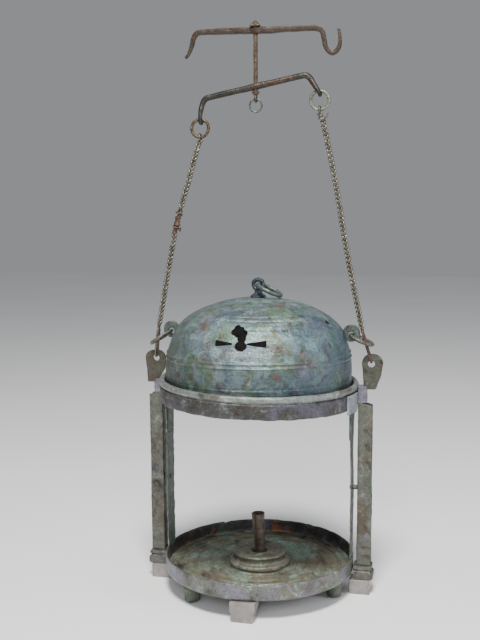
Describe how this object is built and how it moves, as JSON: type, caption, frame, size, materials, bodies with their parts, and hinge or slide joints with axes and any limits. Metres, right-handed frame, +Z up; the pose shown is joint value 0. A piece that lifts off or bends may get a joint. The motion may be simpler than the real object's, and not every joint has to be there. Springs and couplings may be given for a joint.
{
  "type": "thurible censer",
  "caption": "Lantern-form hanging censer: footed pan with a tube, uprights, frame ring, pierced dome lid, plaited side chains, and a hooked handle whose rod guides a carrying bar.",
  "frame": {"origin": "on the lantern's axis at the level of its feet, under the middle of the whole object", "axes": "+Z up along the lantern's axis, uprights and chains on X with the handle's open hook at +X, pierced vents facing -Y and +Y"},
  "size_m": [0.2407, 0.198, 0.5576],
  "materials": {
    "handle_bronze": "dark corroded bronze, rubbed",
    "rod_bronze": "dark brown corroded bronze",
    "carrying_bar_bronze": "dark bronze with a grey-green bloom",
    "rod_ring_bronze": "thin wire, dark green",
    "coppery_wire": "coppery worn wire",
    "grey_green_wire": "pale grey-green wire",
    "chain_bronze": "plaited wire, brown in the hollows and pale on the links",
    "reddish_repair": "reddish corroded repair wire",
    "dome_patina": "mottled blue-green and lilac patina",
    "eye_blue_black": "blue-black patina",
    "ear_green": "grey-green patina",
    "frame_patina": "grey patina with a pale rubbed lip",
    "lilac_grey": "pale lilac-grey patina",
    "tongue_olive": "olive-brown and green patina",
    "post_green": "dark grey-green patina",
    "strip_green": "thin sheet, dark green",
    "pan_patina": "mottled grey-green and brown patina",
    "tube_brown": "rolled sheet, brown-black",
    "pad_clear": "frosted, faintly pink, see-through"
  },
  "bodies": {
    "handle": {"handle_bar": "handle_bronze"},
    "rod": {"lift_rod": "rod_bronze"},
    "rod_end_ring": {"rod_ring": "rod_ring_bronze"},
    "carrier": {"carrying_bar": "carrying_bar_bronze"},
    "right_chain_set": {"top_ring_right": "grey_green_wire", "right_chain": "chain_bronze", "right_chain_hook": "reddish_repair"},
    "left_chain_set": {"top_ring_left": "coppery_wire", "left_chain_upper": "chain_bronze", "left_chain_repair_link": "reddish_repair", "left_chain_lower": "chain_bronze", "left_chain_hook": "coppery_wire"},
    "lantern": {"frame_ring": "frame_patina", "ring_sleeve": "lilac_grey", "pan": "pan_patina", "boss": "pan_patina", "wick_tube": "tube_brown", "pan_foot_front": "strip_green", "pan_foot_right": "strip_green", "pan_foot_back": "strip_green", "support_pad_front": "pad_clear", "support_pad_left": "pad_clear", "support_pad_right": "pad_clear", "post_left": "post_green", "post_tongue_left": "tongue_olive", "ring_lug_left": "lilac_grey", "inner_strip_left": "strip_green", "strip_rivet_left": "post_green", "post_foot_left": "frame_patina", "post_right": "post_green", "post_tongue_right": "tongue_olive", "ring_lug_right": "lilac_grey", "inner_strip_right": "strip_green", "strip_rivet_right": "post_green", "post_foot_right": "frame_patina"},
    "lid": {"lid_dome": "dome_patina", "lid_eye": "eye_blue_black", "lid_ear_left": "ear_green", "lid_ear_right": "ear_green"},
    "lid_lift_ring": {"lid_ring": "rod_ring_bronze"},
    "left_guide": {"guide_ring_left": "coppery_wire"},
    "right_guide": {"guide_ring_right": "grey_green_wire"}
  },
  "joints": [
    {"name": "rod_swivel", "type": "hinge", "parent": "handle", "child": "rod", "pos_m": [-0.0018, 0, 0.5479], "axis": [0, 0, 1], "continuous": true},
    {"name": "rod_ring_swing", "type": "hinge", "parent": "rod", "child": "rod_end_ring", "pos_m": [-0.0018, 0, 0.4835], "axis": [1, 0, 0], "range_deg": [-40, 40]},
    {"name": "bar_lift", "type": "slide", "parent": "rod", "child": "carrier", "axis": [0, 0, 1], "range_m": [0, 0.018]},
    {"name": "chain_swing", "type": "hinge", "parent": "carrier", "child": "right_chain_set", "pos_m": [0.0605, 0, 0.48935], "axis": [0.9808, 0, 0.1952], "range_deg": [-15, 15]},
    {"name": "left_chain_swing", "type": "hinge", "parent": "carrier", "child": "left_chain_set", "pos_m": [-0.0578, 0, 0.4658], "axis": [0.9808, 0, 0.1952], "range_deg": [-15, 15]},
    {"name": "lantern_swing", "type": "hinge", "parent": "right_chain_set", "child": "lantern", "pos_m": [0.1116, 0, 0.2305], "axis": [-1, 0, 0], "range_deg": [-3, 3]},
    {"name": "lid_lift", "type": "slide", "parent": "lantern", "child": "lid", "axis": [0, 0, 1], "range_m": [0, 0.03]},
    {"name": "lid_ring_swing", "type": "hinge", "parent": "lid", "child": "lid_lift_ring", "pos_m": [0, 0, 0.3049], "axis": [0, -1, 0], "range_deg": [0, 115]},
    {"name": "right_guide_swing", "type": "hinge", "parent": "lid", "child": "right_guide", "pos_m": [0.0912, 0.0047, 0.2566], "axis": [0, -1, 0], "range_deg": [0, 30]},
    {"name": "left_guide_swing", "type": "hinge", "parent": "lid", "child": "left_guide", "pos_m": [-0.0912, 0.0047, 0.2566], "axis": [0, 1, 0], "range_deg": [0, 30]}
  ],
  "couplings": [
    {"joint": "left_chain_swing", "follows": "chain_swing", "ratio": 1}
  ]
}
